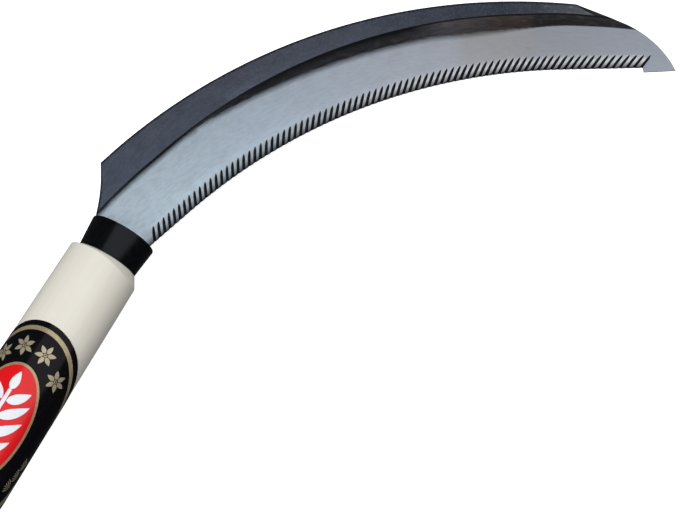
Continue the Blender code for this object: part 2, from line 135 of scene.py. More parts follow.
FADE_SHIFT = ((76.0, 0.5), (38.0, 0.4), (34.0, 1.4), (30.0, 1.2), (25.0, 0.4), (10.0, 0.3))
BAND_END = ((22.3, 0.0), (20.0, 4.4))  # slanted end of the band: angle and depth at both ends
BEVEL_SHARES = (0.25, 0.5, 0.75)  # rows down the rest of the bevel

TEETH = 81
TOOTH_START = 2.87  # first groove's middle, along the edge from the shoulder
TOOTH_PITCH = 2.463
TOOTH_SPREAD = 0.0092  # the pitch grows by this past the even teeth
EVEN_TEETH = 66
TOOTH_DEPTH = (4.95, 5.8, 5.2)  # at the heel, the deepest tooth and the nose
FULL_DEPTH_TOOTH = 60
TOOTH_LEAN = (55.0, 50.0)  # angle to the edge, and at the last tooth
GROOVE_HALF = 0.66
# Shares of a groove's length and width
GROOVE_RAIL = ((0.0, 1.0), (0.34, 1.0), (0.66, 1.0), (0.85, 0.72), (0.96, 0.34))
TOOTH_GULLET = 0.15

TANG_HALF = (7.0, 5.0)
TANG_THICKNESS = 1.3
TANG_LENGTH = 70.0
TANG_OVERLAP = 0.2
TANG_END_X = SHOULDER_X - TANG_LENGTH
TANG_BEVEL = 2.0
PIN_STEPS = 40
PIN_DOME = 0.35
DOME_STEPS = 6
HOLE_REACH = 20.0  # half height of a cutter through the whole handle
CUT_PAST = 1.0  # a cutter reaches past the face that it opens

# Label: concentric ovals on the handle's surface, given as half lengths along the handle
# and round it
LABEL_CENTRE_X = sum(node_range("label", 0)) / 2
LABEL_LIFT = (0.04, 0.13)
PRINT_LIFT = (0.12, 0.16)
LABEL_STEPS = 180
LABEL_CORE = (0.4, 0.25)
RED_OVAL = (22.1, 12.3)
RED_BORDER = (23.0, 13.2)
GOLD_RING = ((35.4, 23.8), (37.0, 25.4))
LABEL_EDGE = (39.0, 28.0)
MARK_OVAL = (29.3, 18.9)
MARK_TURNS = (36.5, 14.0, -12.0, -38.5)
PETALS = 6
PETAL_ROOT = 0.75
WAVE_TURNS = (101.0, 110.0, 119.0)
WAVE_RADII = (2.2, 1.4, 0.6)
WAVE_HALF_TURN = 80.0
STEM_PLACES = 14
STEM_START_X = 52.0
STEM_STEP = 2.4
STEM_TAPER = 0.03
LEAF_PAIRS = ((53.5, 8.5), (60.0, 11.5), (66.8, 12.0), (73.4, 11.0), (79.2, 8.5))  # x, length
LEAF_ROOT = 0.9
LEAF_TURN = 47.0
LEAF_BEND = 26.0
LEAF_WIDTH = 3.4
LEAST_STROKE = 0.06
ARC_STEPS = 14

# Camera, aimed at a point on the blade's plane
CAMERA_AIM = Vector((181.05, -72.05, 0.0))
CAMERA_DISTANCE = 484.6
CAMERA_AZIMUTH = -61.55
CAMERA_ELEVATION = 70.0
CAMERA_FIELD = 28.0

# Studio, in metres
FLOOR_HALF = 2.5
DOME_RADIUS = 2.4


# ---- meshes

def point(x, y, z):
    return Vector((x, y, z)) * MM


def clamped(share):
    return min(1.0, max(0.0, share))


def full_turn(count):
    """Equal steps round a circle, in radians."""
    return [2.0 * math.pi * step / count for step in range(count)]


def add_object(name, data):
    made = bpy.data.objects.new(name, data)
    bpy.context.scene.collection.objects.link(made)
    return made


def new_object(name, bm, materials=()):
    """Object from a bmesh, closed and facing out."""
    bmesh.ops.remove_doubles(bm, verts=bm.verts, dist=MERGE * MM)
    bmesh.ops.recalc_face_normals(bm, faces=bm.faces)
    mesh = bpy.data.meshes.new(name)
    bm.to_mesh(mesh)
    bm.free()
    for material in materials:
        mesh.materials.append(material)
    return add_object(name, mesh)


def boolean(made, cutter, operation="DIFFERENCE"):
    """Cuts or joins at once, and removes the cutter."""
    modifier = made.modifiers.new("cut", "BOOLEAN")
    modifier.operation = operation
    modifier.object = cutter
    bpy.context.view_layer.update()
    evaluated = made.evaluated_get(bpy.context.evaluated_depsgraph_get())
    old = made.data
    result = bpy.data.meshes.new_from_object(evaluated)
    made.modifiers.clear()
    made.data = result
    bpy.data.meshes.remove(old)
    bpy.data.objects.remove(cutter)


def finish_piece(made, node, degrees):
    made.data.shade_smooth()
    made.data.set_sharp_from_angle(angle=math.radians(degrees))
    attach(made, BODY)
    if node:
        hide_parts(node)


def strip(bm, first, second, material=0):
    """Quads between two closed rings of vertices."""
    for step in range(len(first)):
        after = (step + 1) % len(first)
        face = bm.faces.new((first[step], first[after], second[after], second[step]))
        face.material_index = material


def skin(bm, rings):
    """Quads between closed rings of vertices, with flat ends."""
    bm.faces.new(rings[0])
    bm.faces.new(rings[-1])
    for first, second in zip(rings, rings[1:]):
        strip(bm, first, second)


def box(low, high):
    bm = bmesh.new()
    bmesh.ops.create_cube(bm, size=1.0)
    centre = (Vector(low) + Vector(high)) / 2.0
    size = Vector(high) - Vector(low)
    for vertex in bm.verts:
        vertex.co = point(*(centre[axis] + vertex.co[axis] * size[axis] for axis in range(3)))
    return new_object("cutter", bm)


def upright(name, x, levels, materials=()):
    """Round bar along Z at x, from (z, radius) pairs."""
    bm = bmesh.new()
    rings = []
    for z, radius in levels:
        places = [(x + radius * math.cos(turn), radius * math.sin(turn), z)
                  for turn in full_turn(PIN_STEPS)]
        rings.append([bm.verts.new(point(*place)) for place in places])
    skin(bm, rings)
    return new_object(name, bm, materials)


# ---- handle surface

def handle_half(x):
    growth = HANDLE_FLARE * (HANDLE_LENGTH - x)
    return HANDLE_FRONT_HALF[0] + growth, HANDLE_FRONT_HALF[1] + growth


def on_section(half, turn):
    """Point of an ellipse at a turn from the top line, positive towards +Y."""
    return math.sin(turn) * half[0], math.cos(turn) * half[1]


def shrunk(half, amount):
    return half[0] - amount, half[1] - amount


def section_ring(x, half):
    return [Vector((x, *on_section(half, turn))) for turn in full_turn(SECTION_STEPS)]


def rim_rings():
    """Front chamfer with both corners softened. It reaches further back on the toothed side."""
    profiles = []
    for turn in full_turn(SECTION_STEPS):
        side, top = on_section(HANDLE_FRONT_HALF, turn)
        inner = Vector((HANDLE_LENGTH, *on_section(FACE_HALF, turn)))
        length = math.dist((side, top), inner.yz)
        outer = Vector((HANDLE_LENGTH - length + RIM_SLOPE * side, side, top))
        body_x = outer.x - RIM_BACK
        body = Vector((body_x, *on_section(handle_half(body_x), turn)))
        face = Vector((HANDLE_LENGTH, *on_section(TENON_HALF, turn)))
        profiles.append(rounded(body, outer, inner, RIM_ROUND)
                        + rounded(outer, inner, face, RIM_ROUND))
    return [list(ring) for ring in zip(*profiles)]


def loft(rings):
    """Skin over rings of places in millimetres, with flat ends."""
    bm = bmesh.new()
    skin(bm, [[bm.verts.new(place * MM) for place in ring] for ring in rings])
    return bm


def rounded(before, corner, after, radius, steps=4):
    """Places that round a corner between two others."""
    start = corner + (before - corner).normalized() * radius
    end = corner + (after - corner).normalized() * radius
    places = []
    for step in range(steps + 1):
        share = step / steps
        places.append(start.lerp(corner, share).lerp(corner.lerp(end, share), share))
    return places


class GirthTable:
    """Turn from the top line for a distance round the handle, measured at the label's middle."""

    def __init__(self):
        half = handle_half(LABEL_CENTRE_X)
        self.turns = [math.pi * step / GIRTH_STEPS for step in range(GIRTH_STEPS + 1)]
        self.girths = [0.0]
        before = on_section(half, 0.0)
        for turn in self.turns[1:]:
            here = on_section(half, turn)
            self.girths.append(self.girths[-1] + math.dist(before, here))
            before = here

    def turn(self, girth):
        low = min(bisect.bisect_right(self.girths, abs(girth)) - 1, GIRTH_STEPS - 1)
        share = (abs(girth) - self.girths[low]) / (self.girths[low + 1] - self.girths[low])
        turn = self.turns[low] + (self.turns[low + 1] - self.turns[low]) * share
        return math.copysign(turn, girth)


GIRTH = GirthTable()


def on_handle(x, girth, lift):
    """Place above the handle's surface, from a distance along it and one round it."""
    return point(x, *on_section(shrunk(handle_half(x), -lift), GIRTH.turn(girth)))


# ---- materials

class Finish:
    """A node material with a Principled shader, and short ways to add nodes to it."""

    def __init__(self, name, metallic=0.0, roughness=0.5):
        self.material = bpy.data.materials.new(name)
        self.material.use_nodes = True
        self.tree = self.material.node_tree
        self.shader = self.tree.nodes["Principled BSDF"]
        self.shader.inputs["Metallic"].default_value = metallic
        self.shader.inputs["Roughness"].default_value = roughness

    def feed(self, socket, value):
        if isinstance(value, bpy.types.NodeSocket):
            self.tree.links.new(value, socket)
        elif value is not None:
            socket.default_value = value

    def to(self, name, value):
        self.feed(self.shader.inputs[name], value)

    def fill(self, node, inputs, output=0):
        """Fills a node's inputs, by name or number, and gives one of its outputs."""
        for socket, value in inputs.items():
            self.feed(node.inputs[socket], value)
        return node.outputs[output]

    def coordinates(self, stretch=(1.0, 1.0, 1.0)):
        """Object coordinates in millimetres, multiplied by a stretch for each axis."""
        source = self.tree.nodes.new("ShaderNodeTexCoord")
        node = self.tree.nodes.new("ShaderNodeVectorMath")
        node.operation = "MULTIPLY"
        factors = [MM_PER_METRE * factor for factor in stretch]
        return self.fill(node, {0: source.outputs["Object"], 1: factors})

    def attribute(self, name):
        node = self.tree.nodes.new("ShaderNodeAttribute")
        node.attribute_name = name
        return node.outputs["Fac"]

    def noise(self, vector, scale=1.0, detail=3.0, rough=0.55, distortion=0.0):
        node = self.tree.nodes.new("ShaderNodeTexNoise")
        inputs = {"Vector": vector, "Scale": scale, "Detail": detail, "Roughness": rough}
        return self.fill(node, {**inputs, "Distortion": distortion}, "Fac")

    def maths(self, operation, first, second):
        node = self.tree.nodes.new("ShaderNodeMath")
        node.operation = operation
        return self.fill(node, {0: first, 1: second})

    def times(self, first, second):
        return self.maths("MULTIPLY", first, second)

    def span(self, value, low, high, out_low=0.0, out_high=1.0):
        node = self.tree.nodes.new("ShaderNodeMapRange")
        limits = {"From Min": low, "From Max": high, "To Min": out_low, "To Max": out_high}
        return self.fill(node, {"Value": value, **limits})

    def mix(self, share, first, second, blend="MIX"):
        node = self.tree.nodes.new("ShaderNodeMix")
        node.data_type = "RGBA"
        node.blend_type = blend
        inputs = {"Factor": share, "A": as_colour(first), "B": as_colour(second)}
        return self.fill(node, inputs, "Result")

    def lay_colour(self, tone, source, low, high, most, colour):
        """Lays a colour over a tone where a source lies above low, at most by a share."""
        return self.mix(self.span(source, low, high, 0.0, most), tone, colour)

    def ramp(self, value, stops):
        """Colours at positions from 0 to 1."""
        node = self.tree.nodes.new("ShaderNodeValToRGB")
        elements = node.color_ramp.elements
        while len(elements) < len(stops):
            elements.new(0.5)
        for element, (position, colour) in zip(elements, stops):
            element.position = position
            element.color = as_colour(colour)
        return self.fill(node, {0: value}, "Color")

    def done(self, tone, height, strength, distance):
        """Connects the colour and the bump, and gives the material."""
        self.to("Base Color", tone)
        self.bump(height, strength, distance)
        return self.material

    def bump(self, height, strength, distance):
        node = self.tree.nodes.new("ShaderNodeBump")
        inputs = {"Strength": strength, "Distance": distance * MM, "Height": height}
        self.to("Normal", self.fill(node, inputs))


def as_colour(value):
    if isinstance(value, tuple) and len(value) == 3:
        return (*value, 1.0)
    return value


def grey(value):
    return (value, value, value)


MIDDLE_RADIUS = 196.0  # of the line along which the along attribute is measured
BLADE_TURN = 65.3  # angle from the heel corner to the point
BLADE_RUN = math.radians(BLADE_TURN) * MIDDLE_RADIUS


def by_angle(*stops):
    """Ramp stops along the blade, from (angle, colour) pairs in falling order."""
    return [((SPINE_ANGLES[0] - angle) / BLADE_TURN, colour) for angle, colour in stops]


def blade_run(mat):
    return mat.maths("DIVIDE", mat.attribute("along"), BLADE_RUN)


def worn(mat):
    """Unevenness of the steel: blotches, rubbed patches and fine marks along the blade."""
    along = mat.attribute("along")
    across = mat.attribute("across")

    def streaks(squeeze, scale, detail):
        node = mat.tree.nodes.new("ShaderNodeCombineXYZ")
        place = mat.fill(node, {0: mat.times(along, squeeze), 1: across})
        return mat.noise(place, scale, detail, 0.65)

    blotches = mat.noise(mat.coordinates(), 0.16, 4.0, 0.6)
    return blotches, streaks(0.35, 0.75, 4.0), streaks(0.1, 2.2, 5.0)


def band_finish():
    """Flat unground band: dark rolled steel with its scale, and a painted near-black line of shade
    along the spine edge, made spotty by the grain.
    """
    mat = Finish("blade_scale", metallic=0.85, roughness=0.42)
    blotches, rubbed, marks = worn(mat)
    run = blade_run(mat)
    tone = mat.ramp(run, by_angle(
        (75.6, (0.11, 0.132, 0.182)), (56.0, (0.1, 0.117, 0.158)), (46.0, (0.092, 0.108, 0.143)),
        (38.0, (0.058, 0.071, 0.098)), (30.0, (0.045, 0.054, 0.076)), (26.0, (0.052, 0.061, 0.082)),
        (23.0, (0.1, 0.11, 0.135)), (20.0, (0.13, 0.14, 0.16)),
    ))
    grain = mat.noise(mat.coordinates(), 1.1, 3.0, 0.6)
    tone = mat.lay_colour(tone, rubbed, 0.4, 0.7, 0.4, (0.052, 0.062, 0.086))
    tone = mat.lay_colour(tone, grain, 0.45, 0.8, 0.4, (0.18, 0.195, 0.23))
    spots = mat.times(mat.span(run, 0.72, 0.86), mat.span(rubbed, 0.56, 0.66))
    tone = mat.mix(mat.times(spots, 0.75), tone, (0.34, 0.35, 0.38))
    # Painted shade: near-black line along the spine edge, broken up by the grain.
    edge = mat.maths("ADD", mat.attribute("rim"), mat.span(grain, 0.3, 0.8, -0.25, 0.35))
    tone = mat.lay_colour(tone, edge, 1.1, 0.45, 0.88, (0.012, 0.013, 0.016))
    mat.to("Roughness", mat.span(blotches, 0.25, 0.75, 0.36, 0.52))
    return mat.done(tone, mat.maths("ADD", mat.times(grain, 0.6), marks), 0.35, 0.05)


def ground_finish(name, toothed=False):
    """Ground bevel: bright steel with fine marks along the blade, its tone along the blade partly
    painted reflection, and a painted dark reflection in the hollow.

    On the toothed strip it darkens towards the edge as painted shade, and the lands take a painted
    highlight."""
    mat = Finish(name, metallic=1.0, roughness=0.38)
    blotches, rubbed, marks = worn(mat)
    run = blade_run(mat)
    # Steel tone along the blade, partly painted reflection: bluish and light at the heel, greyer in
    # the middle.
    bright = mat.ramp(run, by_angle(
        (74.0, (0.7, 0.87, 1.0)), (60.0, (0.69, 0.84, 0.99)), (52.0, (0.66, 0.765, 0.89)),
        (42.0, (0.63, 0.7, 0.81)), (36.0, (0.6, 0.64, 0.73)), (34.0, (0.55, 0.55, 0.585)),
        (29.0, (0.5, 0.495, 0.515)), (25.0, (0.44, 0.46, 0.52)), (18.0, (0.44, 0.475, 0.555)),
        (10.3, (0.45, 0.49, 0.575)),
    ))
    # Painted dark reflection in the hollow under the ridge: dark along the blade and brownish in
    # the middle, with darker marks and lighter patches from the noise.
    hollow = mat.ramp(run, by_angle(
        (74.0, (0.04, 0.05, 0.066)), (62.0, (0.024, 0.028, 0.036)), (54.0, (0.042, 0.044, 0.05)),
        (41.0, (0.044, 0.045, 0.052)), (38.0, (0.072, 0.072, 0.084)), (36.0, (0.112, 0.108, 0.12)),
        (33.5, (0.098, 0.088, 0.092)), (30.0, (0.072, 0.057, 0.05)), (27.6, (0.072, 0.057, 0.05)),
        (26.2, (0.034, 0.033, 0.033)), (10.3, (0.04, 0.041, 0.048)),
    ))
    hollow = mat.lay_colour(hollow, marks, 0.42, 0.7, 0.55, (0.01, 0.01, 0.012))
    hollow = mat.lay_colour(hollow, rubbed, 0.5, 0.75, 0.3, (0.16, 0.15, 0.15))
    bright = mat.lay_colour(bright, marks, 0.3, 0.75, 0.22, (0.95, 1.0, 1.0))
    bright = mat.lay_colour(bright, rubbed, 0.42, 0.7, 0.34, (0.36, 0.41, 0.48))
    bright = mat.lay_colour(bright, blotches, 0.45, 0.75, 0.26, (0.42, 0.46, 0.52))
    ragged = mat.span(marks, 0.2, 0.8, -0.14, 0.14)
    # The hollow attribute, ragged by the marks, sets how far the painted dark reflection covers the
    # bright steel.
    shade = mat.maths("ADD", mat.attribute("hollow"), ragged)
    under = mat.attribute("under")
    # Painted dark reflection, near-black just under the ridge in the middle of the blade.
    deep_ends = ((64.0, 0.0), (57.0, 1.0), (40.0, 1.0), (37.0, 0.0))
    deep = mat.ramp(run, by_angle(*((angle, grey(share)) for angle, share in deep_ends)))
    deep = mat.times(deep, mat.span(under, 3.4, 0.4))
    hollow = mat.mix(deep, hollow, (0.004, 0.005, 0.006))
    tone = mat.mix(mat.span(shade, 0.0, 0.75), bright, hollow)
    # Painted dark line of reflection just under the ridge, fainter at the heel.
    line = mat.times(mat.span(under, 0.8, 0.5), mat.span(under, -0.05, 0.0))
    line = mat.times(line, mat.span(run, 0.0, 0.06, 0.4, 0.9))
    tone = mat.mix(line, tone, (0.012, 0.012, 0.014))
    if toothed:
        # Painted shade: the toothed strip darkens towards the edge.
        shading = mat.ramp(mat.maths("DIVIDE", mat.attribute("edge"), 6.0), [
            (0.0, grey(0.15)), (0.08, grey(0.18)), (0.14, grey(0.34)), (0.25, grey(0.52)),
            (0.36, grey(0.78)), (0.48, grey(1.0)),
        ])
        # Painted highlight on the lands near the edge, stronger towards the nose.
        lift = mat.ramp(run, by_angle(
            (68.0, (0.58, 0.67, 0.76)), (62.0, (0.56, 0.64, 0.73)), (52.0, (0.64, 0.7, 0.77)),
            (46.0, (0.83, 0.87, 0.92)), (33.0, (0.92, 0.94, 0.97)),
        ))
        land_highlight = mat.span(mat.attribute("edge"), 5.9, 3.8, 0.0, 0.85)
        tone = mat.mix(1.0, mat.mix(land_highlight, tone, lift), shading, "MULTIPLY")
    mat.to("Roughness", mat.span(rubbed, 0.2, 0.8, 0.31, 0.45))
    return mat.done(tone, marks, 0.4, 0.03)


def groove_finish():
    """Tooth grooves: near-black steel, painted shade for the dark of the recessed cuts."""
    mat = Finish("blade_groove", metallic=0.9, roughness=0.45)
    groove_shade_noise = mat.noise(mat.coordinates(), 1.8, 3.0)
    # Painted shade: near-black colour in the grooves, with faint noise.
    tone = mat.mix(mat.span(groove_shade_noise, 0.3, 0.8), (0.006, 0.0065, 0.008), (0.022, 0.023, 0.027))
    return mat.done(tone, groove_shade_noise, 0.3, 0.05)


def wood_finish():
    """Bare pale wood: faint lengthwise grain and a few pores, with end grain at the ends."""
    mat = Finish("pale_wood", roughness=0.55)
    fibre = mat.noise(mat.coordinates((0.035, 0.75, 0.75)), 1.0, 5.0, 0.6, 0.3)
    broad = mat.noise(mat.coordinates((0.012, 0.14, 0.14)), 1.0, 3.0, 0.5, 0.6)
    pores = mat.noise(mat.coordinates((0.25, 3.0, 3.0)), 1.0, 2.0)
    tone = mat.mix(mat.span(broad, 0.3, 0.7), (0.8, 0.775, 0.695), (0.765, 0.735, 0.65))
    tone = mat.lay_colour(tone, fibre, 0.42, 0.7, 0.2, (0.7, 0.66, 0.56))
    tone = mat.lay_colour(tone, pores, 0.68, 0.8, 0.2, (0.5, 0.45, 0.36))
    mat.to("Roughness", mat.span(fibre, 0.3, 0.7, 0.5, 0.66))
    height = mat.maths("SUBTRACT", fibre, mat.span(pores, 0.62, 0.8))
    return mat.done(tone, height, 0.25, 0.06)


def plastic_finish():
    """Glossy black moulding with faint rub marks."""
    mat = Finish("black_plastic", roughness=0.2)
    rub = mat.noise(mat.coordinates((0.3, 1.2, 1.2)), 1.0, 4.0)
    tone = mat.mix(mat.span(rub, 0.3, 0.8), (0.0018, 0.0018, 0.002), (0.004, 0.0045, 0.006))
    mat.to("Roughness", mat.span(rub, 0.3, 0.75, 0.14, 0.28))
    mat.to("Specular IOR Level", 0.24)
    mat.to("Specular Tint", (0.82, 0.92, 1.0, 1.0))
    return mat.done(tone, mat.noise(mat.coordinates(), 0.25, 2.0), 0.06, 0.06)


def film_finish(name, colour, aged, metallic=0.0, roughness=0.16, gloss=0.5):
    """Glossy printed film in one ink, with a faint unevenness in the ink and the gloss."""
    mat = Finish(name, metallic=metallic, roughness=roughness)
    ink = mat.noise(mat.coordinates(), 0.9, 4.0, 0.6)
    ripple = mat.noise(mat.coordinates((0.12, 0.3, 0.3)), 1.0, 2.0)
    mat.to("Base Color", mat.lay_colour(colour, ink, 0.35, 0.8, 0.8, aged))
    mat.to("Roughness", mat.span(ink, 0.3, 0.8, roughness * 0.8, roughness * 1.5))
    mat.to("Specular IOR Level", gloss)
    mat.bump(ripple, 0.12, 0.08)
    return mat.material


def pin_finish():
    mat = Finish("pin_steel", metallic=1.0, roughness=0.4)
    rub = mat.noise(mat.coordinates(), 2.0, 4.0)
    tone = mat.mix(mat.span(rub, 0.3, 0.8), (0.45, 0.45, 0.46), (0.2, 0.17, 0.15))
    return mat.done(tone, rub, 0.3, 0.04)


# ---- handle, collar and pins

def cut_tang_slot(made, rear_x, front_x):
    half_y = TANG_HALF[0] + GAP
    half_z = TANG_THICKNESS / 2 + GAP
    boolean(made, box((rear_x, -half_y, -half_z), (front_x, half_y, half_z)))


def pins():
    """Centre and radius of each pin, from its CAD solid."""
    found = []
    for node in ("tang_pin_front", "tang_pin_rear"):
        low, high = node_range(node, 0)
        found.append((node, (low + high) / 2, (high - low) / 2))
    return found


def cut_pin_holes(made):
    for _, x, radius in pins():
        levels = [(z, radius + GAP) for z in (-HOLE_REACH, HOLE_REACH)]
        boolean(made, upright("cutter", x, levels))


def make_handle():
    rings = []
    for step in range(BUTT_STEPS + 1):
        turn = math.radians(90.0 * step / BUTT_STEPS)
        x = BUTT_ROUND * (1.0 - math.cos(turn))
        rings.append(section_ring(x, shrunk(handle_half(x), BUTT_ROUND * (1.0 - math.sin(turn)))))
    for step in range(1, BODY_STEPS):
        x = BUTT_ROUND + (HANDLE_LENGTH - 2.0 * BUTT_ROUND) * step / BODY_STEPS
        rings.append(section_ring(x, handle_half(x)))
    rings += rim_rings()
    rings.append(section_ring(HANDLE_LENGTH, TENON_HALF))
    rings.append(section_ring(HANDLE_LENGTH + TENON_LENGTH, TENON_HALF))
    handle = new_object("handle_wood", loft(rings), [wood_finish()])
    cut_tang_slot(handle, TANG_END_X - CUT_PAST, HANDLE_LENGTH + TENON_LENGTH + CUT_PAST)
    cut_pin_holes(handle)
    finish_piece(handle, "handle", 35.0)


def make_collar():
    corner = Vector((COLLAR_FRONT_X, 0.0))
    rear_inset = COLLAR_FRONT_HALF[0] - COLLAR_REAR_HALF[0]
    rear = Vector((COLLAR_REAR_X, rear_inset))
    outside = [rear] + rounded(rear, corner, corner + Vector((0.0, 1.0)), COLLAR_EDGE, 6)
    shares = [(place.x - COLLAR_REAR_X) / (COLLAR_FRONT_X - COLLAR_REAR_X) for place in outside]
    flare_z = COLLAR_FRONT_HALF[1] - COLLAR_REAR_HALF[1] - rear_inset
    rings = []
    for place, share in zip(outside, shares):
        half = shrunk(COLLAR_FRONT_HALF, place.y)
        rings.append(section_ring(place.x, (half[0], half[1] - flare_z * (1.0 - share))))
    collar = new_object("collar_black", loft(rings), [plastic_finish()])
    inside = shrunk(TENON_HALF, -GAP)
    wall_x = COLLAR_FRONT_X - COLLAR_WALL
    cavity = loft([section_ring(x, inside) for x in (COLLAR_REAR_X - CUT_PAST, wall_x)])
    boolean(collar, new_object("cutter", cavity))
    cut_tang_slot(collar, wall_x - CUT_PAST, COLLAR_FRONT_X + CUT_PAST)
    finish_piece(collar, "ferrule", 35.0)


def make_pins():
    steel = pin_finish()
    for node, x, radius in pins():
        low, high = node_range(node, 2)
        dome = []
        for step in range(DOME_STEPS):
            turn = math.radians(90.0 * step / DOME_STEPS)
            dome.append((PIN_DOME * (1.0 - math.sin(turn)), radius * math.cos(turn)))
        dome.reverse()
        levels = [(low + rise, reach) for rise, reach in dome]
        levels += [(high - rise, reach) for rise, reach in reversed(dome)]
        pin = upright(node + "_nail", x, levels, [steel])
        finish_piece(pin, node, 50.0)


# ---- label

def oval_place(half, turn):
    return LABEL_CENTRE_X + half[0] * math.cos(turn), half[1] * math.sin(turn)


def ring_steps(inner, outer, count):
    """Ovals from one to another, without the first."""
    shares = [number / count for number in range(1, count + 1)]
    return [tuple(a + (b - a) * share for a, b in zip(inner, outer)) for share in shares]


def make_label():
    """Film with its printed rings: red oval, gold line, black field, gold ring, black edge."""
    inks = [
        film_finish("label_red", (0.78, 0.010, 0.013), (0.68, 0.008, 0.011), gloss=0.42),
        film_finish("label_gold", (0.46, 0.38, 0.22), (0.30, 0.24, 0.13), 0.35, 0.25),
        film_finish("label_black", (0.003, 0.003, 0.004), (0.006, 0.006, 0.008), 0.0, 0.12, 0.14),
    ]
    red, gold, black = range(3)
    bands = [
        (ring_steps(LABEL_CORE, RED_OVAL, 14), red),
        (ring_steps(RED_OVAL, RED_BORDER, 1), gold),
        (ring_steps(RED_BORDER, GOLD_RING[0], 9), black),
        (ring_steps(GOLD_RING[0], GOLD_RING[1], 2), gold),
        (ring_steps(GOLD_RING[1], LABEL_EDGE, 4), black),
    ]
    bm = bmesh.new()
    turns = full_turn(LABEL_STEPS)

    def ring(half, lift):
        return [bm.verts.new(on_handle(*oval_place(half, turn), lift)) for turn in turns]

    edges = []
    for lift in LABEL_LIFT:
        last = ring(LABEL_CORE, lift)
        bm.faces.new(last).material_index = red
        for ovals, ink in bands:
            for half in ovals:
                here = ring(half, lift)
                strip(bm, last, here, ink)
                last = here
        edges.append(last)
    strip(bm, *edges, black)
    label = new_object("label_film", bm, inks)
    finish_piece(label, "label", 60.0)


def ribbon(bm, path, half_widths, across=5):
    """Thin printed stroke on the label, along (x, girth) places with a half width at each."""
    count = len(path)
    layers = []
    for lift in PRINT_LIFT:
        rows = []
        for number, (place, reach) in enumerate(zip(path, half_widths)):
            ahead = Vector(path[min(number + 1, count - 1)])
            behind = Vector(path[max(number - 1, 0)])
            along = (ahead - behind).normalized()
            side = Vector((-along.y, along.x))
            row = []
            for step in range(across):
                spot = Vector(place) + side * reach * (2.0 * step / (across - 1) - 1.0)
                row.append(bm.verts.new(on_handle(spot.x, spot.y, lift)))
            rows.append(row)
        layers.append(rows)
    low, high = layers

    def quad(first, second, number, after):
        bm.faces.new((first[number], first[after], second[after], second[number]))

    for rows in layers:
        for first, second in zip(rows, rows[1:]):
            for step in range(across - 1):
                quad(first, second, step, step + 1)
    for edge in (0, across - 1):
        sides = [[row[edge] for row in rows] for rows in layers]
        for number in range(count - 1):
            quad(*sides, number, number + 1)
    for end in (0, count - 1):
        for step in range(across - 1):
            quad(low[end], high[end], step, step + 1)


def leaf(bm, root, heading, length, width, bend=0.0, steps=12):
    """Pointed leaf or petal from its root, that bends by an angle along its length."""
    path = [Vector(root)]
    for step in range(steps):
        turn = heading + bend * (step / (steps - 1) - 0.5)
        path.append(path[-1] + direction(turn) * length / steps)
    half_widths = []
    for step in range(steps + 1):
        share = step / steps
        half_widths.append(max(LEAST_STROKE, width / 2 * math.sin(math.pi * share ** 0.75) ** 0.8))
    ribbon(bm, [tuple(place) for place in path], half_widths)


def arc_stroke(bm, centre, radius, start, end, width):
    path = []
    for step in range(ARC_STEPS + 1):
        turn = math.radians(start + (end - start) * step / ARC_STEPS)
        path.append((centre[0] + radius * math.cos(turn), centre[1] + radius * math.sin(turn)))
    ribbon(bm, path, [width / 2] * (ARC_STEPS + 1), 3)


def make_label_motif():
    """White ear of rice on the red oval: a stem, pairs of broad leaves and one at the head."""
    bm = bmesh.new()
    stem = [(STEM_START_X + step * STEM_STEP, 0.0) for step in range(STEM_PLACES)]
    ribbon(bm, stem, [1.0 - STEM_TAPER * step for step in range(STEM_PLACES)])
    for x, length in LEAF_PAIRS:
        for side in (-1.0, 1.0):
            root = (x, side * LEAF_ROOT)
            leaf(bm, root, side * LEAF_TURN, length, LEAF_WIDTH, -side * LEAF_BEND)
    leaf(bm, (83.2, 0.0), 0.0, 6.8, 3.2)
    white = film_finish("label_white", (0.86, 0.90, 0.94), (0.76, 0.82, 0.88))
    motif = new_object("label_rice_ear", bm, [white])
    finish_piece(motif, None, 60.0)


def mark_place(turn):
    return oval_place(MARK_OVAL, math.radians(turn))


def make_label_marks():
    """Dull gold ornaments round the oval: flowers at both ends, waves at the sides."""
    bm = bmesh.new()
    for end in (0.0, 180.0):
        for turn in MARK_TURNS:
            centre = mark_place(end + turn)
            for petal in range(PETALS):
                heading = 360.0 / PETALS * petal + turn
                step = math.radians(heading)
                root = (centre[0] + PETAL_ROOT * math.cos(step),
                        centre[1] + PETAL_ROOT * math.sin(step))
                leaf(bm, root, heading, 3.0, 1.6, 0.0, 8)
            arc_stroke(bm, centre, 0.45, 0.0, 330.0, 0.35)
    for side in (-1.0, 1.0):
        start = side * 90.0 - WAVE_HALF_TURN
        end = side * 90.0 + WAVE_HALF_TURN
        for turn in WAVE_TURNS:
            centre = mark_place(side * turn)
            for radius in WAVE_RADII:
                arc_stroke(bm, centre, radius, start, end, 0.3)
    gold = film_finish("label_gold_marks", (0.50, 0.44, 0.30), (0.28, 0.235, 0.145), 0.35, 0.3)
    marks = new_object("label_gold_marks", bm, [gold])
    finish_piece(marks, None, 60.0)


# ---- blade

def direction(degrees):
    turn = math.radians(degrees)
    return Vector((math.cos(turn), math.sin(turn)))


def from_polar(angle, depth):
    return SPINE_CENTRE + direction(angle) * (SPINE_RADIUS - depth)


def to_polar(place):
    offset = place - SPINE_CENTRE
    return math.degrees(math.atan2(offset.y, offset.x)), SPINE_RADIUS - offset.length


def solve(function, low, high):
    """Value between low and high where a function changes sign."""
    rising = function(high) > 0.0
    for _ in range(40):
        middle = (low + high) / 2.0
        if (function(middle) > 0.0) == rising:
            high = middle
        else:
            low = middle
    return (low + high) / 2.0


def tooth_station(tooth):
    """Middle of a groove, as a length along the edge."""
    return TOOTH_START + TOOTH_PITCH * tooth + TOOTH_SPREAD * max(0, tooth - EVEN_TEETH) ** 2


